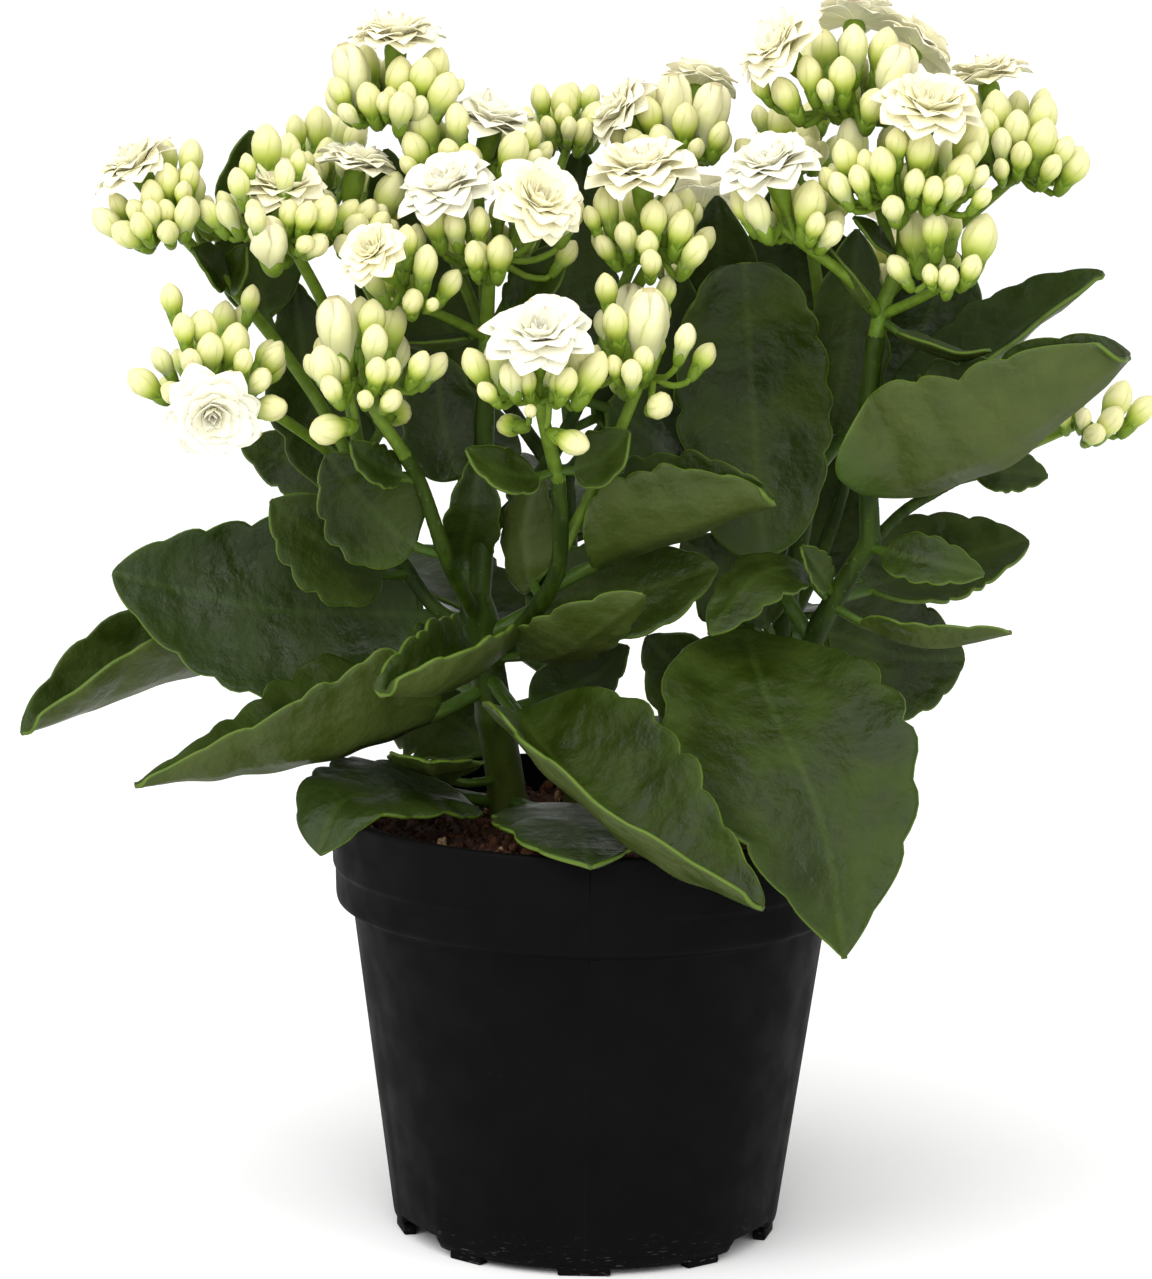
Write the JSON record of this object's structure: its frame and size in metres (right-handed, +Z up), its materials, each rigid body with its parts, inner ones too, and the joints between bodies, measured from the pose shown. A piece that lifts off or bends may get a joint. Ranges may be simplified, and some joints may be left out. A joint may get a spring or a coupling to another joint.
{
  "type": "potted flaming katy",
  "caption": "Bushy succulent house plant with cream-white double flowers and scalloped leaves, in a round black nursery pot that stands on its feet.",
  "frame": {"origin": "on the surface that the pot's feet stand on, under the pot's axis, which is also the middle of the part's box", "axes": "+Z up along the pot's axis, -Y towards the viewer of the picture, +X to that viewer's right"},
  "size_m": [0.264, 0.1736, 0.2875],
  "materials": {
    "pot_plastic": "satin",
    "peat_mix": "matte",
    "stem_green": "satin",
    "leaf_green": "satin",
    "bud_green": "satin",
    "petal_cream": "satin"
  },
  "bodies": {
    "root": {"pot": "pot_plastic", "potting_mix": "peat_mix", "stem_back": "stem_green", "stem_behind": "stem_green", "stem_left": "stem_green", "stem_right": "stem_green", "leaf_back_left": "leaf_green", "leaf_back_middle": "leaf_green", "leaf_back_right": "leaf_green", "leaf_behind_right_stem": "leaf_green", "leaf_cupped": "leaf_green", "leaf_front": "leaf_green", "leaf_front_left": "leaf_green", "leaf_front_right": "leaf_green", "leaf_left_broad": "leaf_green", "leaf_left_low": "leaf_green", "leaf_middle_dark": "leaf_green", "leaf_middle_pale": "leaf_green", "leaf_over_rim_front": "leaf_green", "leaf_over_rim_left": "leaf_green", "leaf_right_big": "leaf_green", "leaf_right_low": "leaf_green", "leaf_right_lowest": "leaf_green", "leaf_right_top": "leaf_green", "leaf_round_upright": "leaf_green", "spray_behind_left": "bud_green", "spray_behind_middle": "bud_green", "spray_behind_right": "bud_green", "spray_front_left": "bud_green", "spray_front_middle": "bud_green", "spray_left": "bud_green", "spray_middle_left": "bud_green", "spray_middle_low": "bud_green", "spray_middle_right": "bud_green", "spray_right_back": "bud_green", "spray_right_front": "bud_green", "spray_right_low": "bud_green", "bloom_behind_left": "petal_cream", "bloom_behind_middle": "petal_cream", "bloom_behind_right": "petal_cream", "bloom_front_middle": "petal_cream", "bloom_left_1": "petal_cream", "bloom_left_2": "petal_cream", "bloom_left_3": "petal_cream", "bloom_left_4": "petal_cream", "bloom_middle_left_1": "petal_cream", "bloom_middle_left_2": "petal_cream", "bloom_middle_left_3": "petal_cream", "bloom_middle_left_4": "petal_cream", "bloom_middle_left_5": "petal_cream", "bloom_middle_right_1": "petal_cream", "bloom_middle_right_2": "petal_cream", "bloom_middle_right_3": "petal_cream", "bloom_right_back": "petal_cream", "bloom_right_front_1": "petal_cream", "bloom_right_front_2": "petal_cream", "bloom_right_front_3": "petal_cream", "bloom_right_front_4": "petal_cream", "bloom_right_front_5": "petal_cream"}
  },
  "joints": []
}
